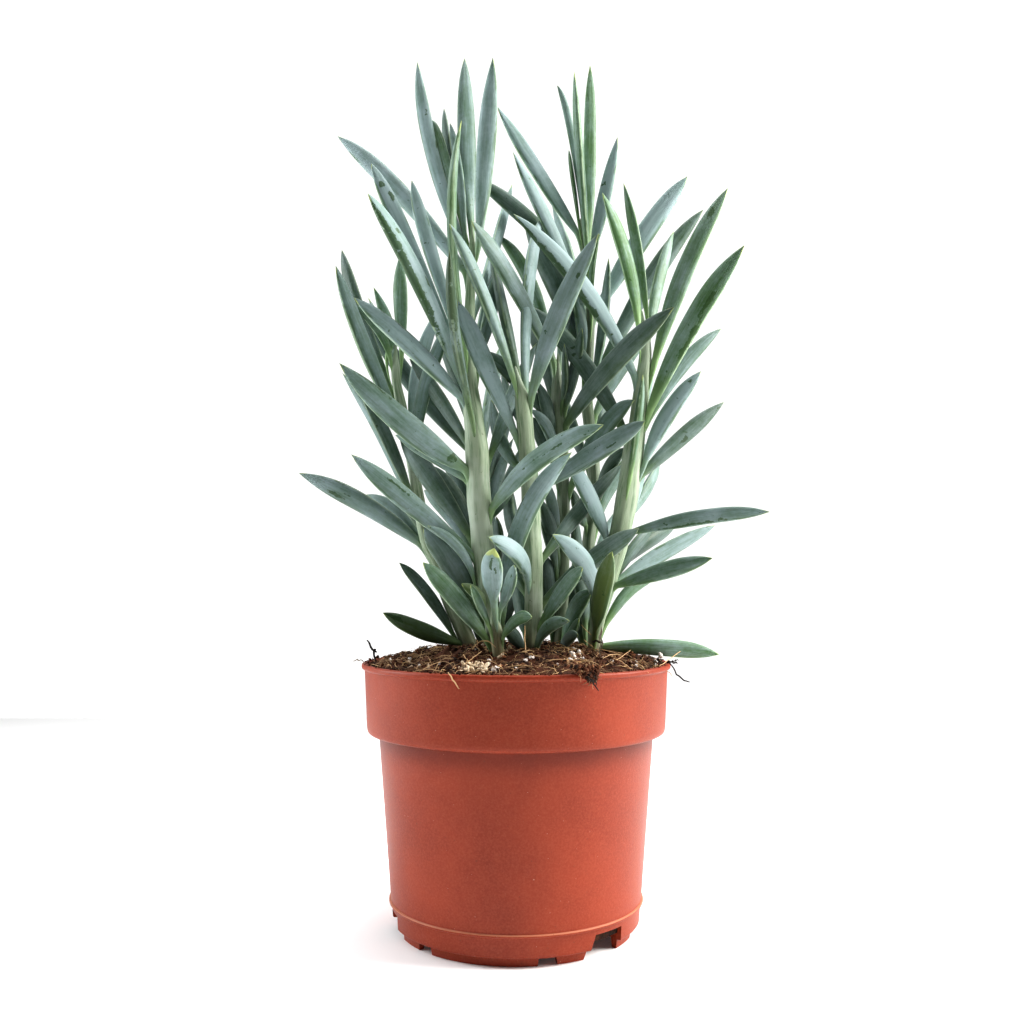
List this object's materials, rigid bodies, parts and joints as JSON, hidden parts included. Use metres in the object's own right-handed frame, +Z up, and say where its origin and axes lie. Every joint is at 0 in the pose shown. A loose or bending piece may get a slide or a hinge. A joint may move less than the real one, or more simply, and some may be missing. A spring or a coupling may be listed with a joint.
{
  "type": "potted senecio",
  "caption": "Blue-green chalk-stick succulent with upright stems and knife-like leaves, growing from soil in a round tapered plastic nursery pot with a flanged lip.",
  "frame": {"origin": "middle of the pot's foot, on the plane it stands on", "axes": "+Z up along the pot's axis, -Y towards the viewer of the picture, +X to that viewer's right"},
  "size_m": [0.1766, 0.12, 0.3482],
  "materials": {
    "leaf": "matte",
    "stem": "matte",
    "soil": "matte",
    "pot": "satin"
  },
  "bodies": {
    "root": {"leaf_back_01": "leaf", "leaf_back_02": "leaf", "leaf_back_03": "leaf", "leaf_back_04": "leaf", "leaf_back_05": "leaf", "leaf_back_06": "leaf", "leaf_far_01": "leaf", "leaf_front_01": "leaf", "leaf_front_02": "leaf", "leaf_front_03": "leaf", "leaf_front_04": "leaf", "leaf_front_05": "leaf", "leaf_front_left_01": "leaf", "leaf_front_left_02": "leaf", "leaf_front_left_03": "leaf", "leaf_front_left_04": "leaf", "leaf_front_left_05": "leaf", "leaf_front_left_06": "leaf", "leaf_front_left_07": "leaf", "leaf_front_left_08": "leaf", "leaf_front_left_09": "leaf", "leaf_front_left_10": "leaf", "leaf_front_left_11": "leaf", "leaf_front_left_12": "leaf", "leaf_front_left_13": "leaf", "leaf_front_left_14": "leaf", "leaf_left_01": "leaf", "leaf_left_02": "leaf", "leaf_left_03": "leaf", "leaf_left_04": "leaf", "leaf_left_05": "leaf", "leaf_left_06": "leaf", "leaf_left_07": "leaf", "leaf_middle_01": "leaf", "leaf_middle_02": "leaf", "leaf_right_01": "leaf", "leaf_right_02": "leaf", "leaf_right_03": "leaf", "leaf_right_04": "leaf", "leaf_right_05": "leaf", "leaf_right_06": "leaf", "leaf_right_07": "leaf", "leaf_right_08": "leaf", "leaf_right_09": "leaf", "leaf_right_10": "leaf", "leaf_right_11": "leaf", "leaf_right_12": "leaf", "leaf_right_13": "leaf", "leaf_right_14": "leaf", "leaf_shoot_01": "leaf", "pot": "pot", "soil": "soil", "stem_back": "stem", "stem_far": "stem", "stem_front": "stem", "stem_front_left": "stem", "stem_left": "stem", "stem_middle": "stem", "stem_right": "stem", "stem_shoot": "stem"}
  },
  "joints": []
}
